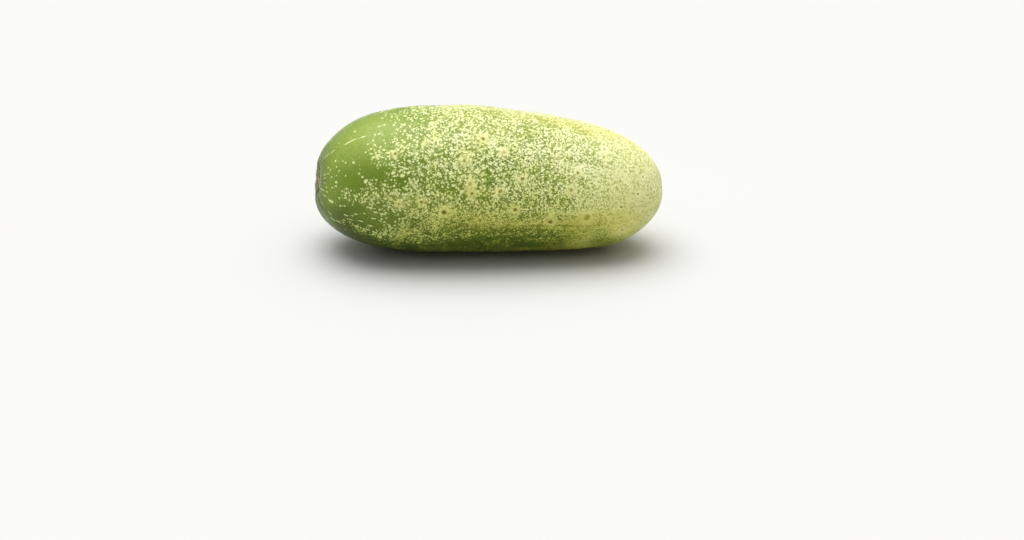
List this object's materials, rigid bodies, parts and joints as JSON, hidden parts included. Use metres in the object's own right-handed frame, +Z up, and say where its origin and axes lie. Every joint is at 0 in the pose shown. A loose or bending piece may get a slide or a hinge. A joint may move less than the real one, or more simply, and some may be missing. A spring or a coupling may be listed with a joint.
{
  "type": "pickling cucumber",
  "caption": "Whole pickling cucumber lying on its side, plump and gently tapered, with a corky stem scar, a small blossom scar and low warts on a green to cream mottled rind.",
  "frame": {"origin": "middle of the bounding box's base, on the surface that the cucumber lies on", "axes": "+X along its length from the stem end to the blossom end, +Z up, -Y towards the side that shows best"},
  "size_m": [0.1182, 0.05, 0.0498],
  "materials": {
    "rind": "satin waxy rind, green at the stem end, mottled with cream towards the blossom end"
  },
  "bodies": {
    "root": {"cucumber": "rind"}
  },
  "joints": []
}
